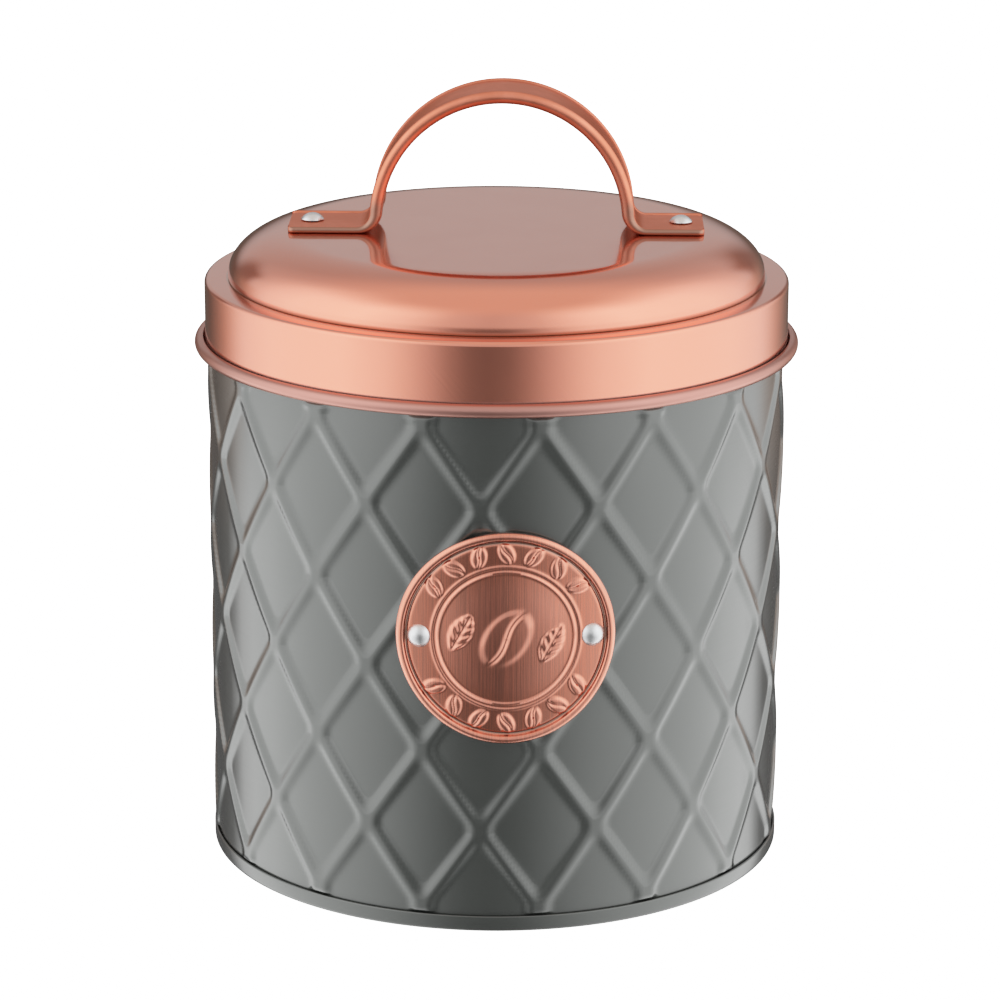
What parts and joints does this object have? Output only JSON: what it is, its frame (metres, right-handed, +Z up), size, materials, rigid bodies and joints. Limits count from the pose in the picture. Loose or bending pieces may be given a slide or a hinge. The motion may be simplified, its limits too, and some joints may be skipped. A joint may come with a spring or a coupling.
{
  "type": "coffee tin",
  "caption": "Round embossed steel storage tin with a slip-over domed copper-coloured lid, a riveted strap handle on top and a riveted round badge on the front.",
  "frame": {"origin": "on the tin's axis, on the surface that the foot band stands on", "axes": "+Z up along the tin's axis, -Y out through the middle of the badge, +X to the right when facing the badge, along the handle to within 3 degrees"},
  "size_m": [0.1302, 0.1302, 0.1675],
  "materials": {
    "body_paint": "gloss sage-grey enamel over an embossed diamond lattice",
    "lid_copper": "copper-plated steel, very fine brushed grain, satin to mirror sheen",
    "handle_copper": "copper-plated steel strap, satin, rolled edges",
    "badge_copper": "copper-plated plate, upright brushed grain, embossed relief",
    "rivet_aluminium": "dull silver domed heads",
    "seal_silicone": "matt off-white silicone"
  },
  "bodies": {
    "canister": {"body_wall": "body_paint", "base_pan": "body_paint", "badge": "badge_copper", "badge_rivet_left": "rivet_aluminium", "badge_rivet_right": "rivet_aluminium"},
    "seal": {"lid_seal": "seal_silicone"},
    "lid": {"lid_shell": "lid_copper", "lid_handle": "handle_copper", "handle_rivet_left": "rivet_aluminium", "handle_rivet_right": "rivet_aluminium"}
  },
  "joints": [
    {"name": "lid_lift", "type": "slide", "parent": "canister", "child": "seal", "axis": [0, 0, 1], "range_m": [0, 0.15]},
    {"name": "lid_turn", "type": "hinge", "parent": "seal", "child": "lid", "pos_m": [0, 0, 0.125], "axis": [0, 0, 1], "continuous": true}
  ]
}
